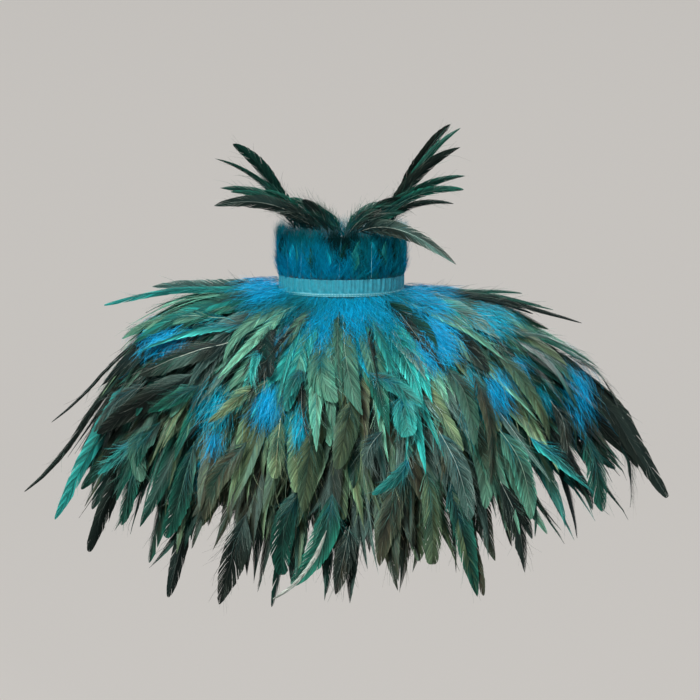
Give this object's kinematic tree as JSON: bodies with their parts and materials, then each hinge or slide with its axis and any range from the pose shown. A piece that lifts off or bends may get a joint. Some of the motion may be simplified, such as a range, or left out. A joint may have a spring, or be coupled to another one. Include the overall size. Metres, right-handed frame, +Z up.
{
  "type": "feather shawl",
  "caption": "Short shoulder cape of overlapping feather tiers with a fluff-covered stand collar, a gathered neck ribbon and plumes that flare from the collar's rim.",
  "frame": {"origin": "centre of the neck ring, at the seam under the ribbon", "axes": "+X to the picture's right across the shoulders, -Y out of the shown side, +Z up along the neck"},
  "size_m": [0.6599, 0.3935, 0.4649],
  "materials": {
    "backing_cloth": "matte woven cloth",
    "ribbon": "satin ribbon, gathered",
    "collar_fluff": "soft dyed down",
    "upper_feathers": "dyed feather over down",
    "middle_feathers": "satin feather",
    "lower_feathers": "satin feather",
    "plumes": "satin feather",
    "clasp_metal": "brushed"
  },
  "bodies": {
    "root": {"cape_backing": "backing_cloth", "collar_backing": "backing_cloth", "neck_ribbon": "ribbon", "collar_feathers": "collar_fluff", "feather_tier_1": "upper_feathers", "feather_tier_2": "upper_feathers", "feather_tier_3": "middle_feathers", "feather_tier_4": "lower_feathers", "feather_tier_5": "lower_feathers", "collar_plumes_left": "plumes", "collar_plumes_right": "plumes", "clasp": "clasp_metal"}
  },
  "joints": []
}
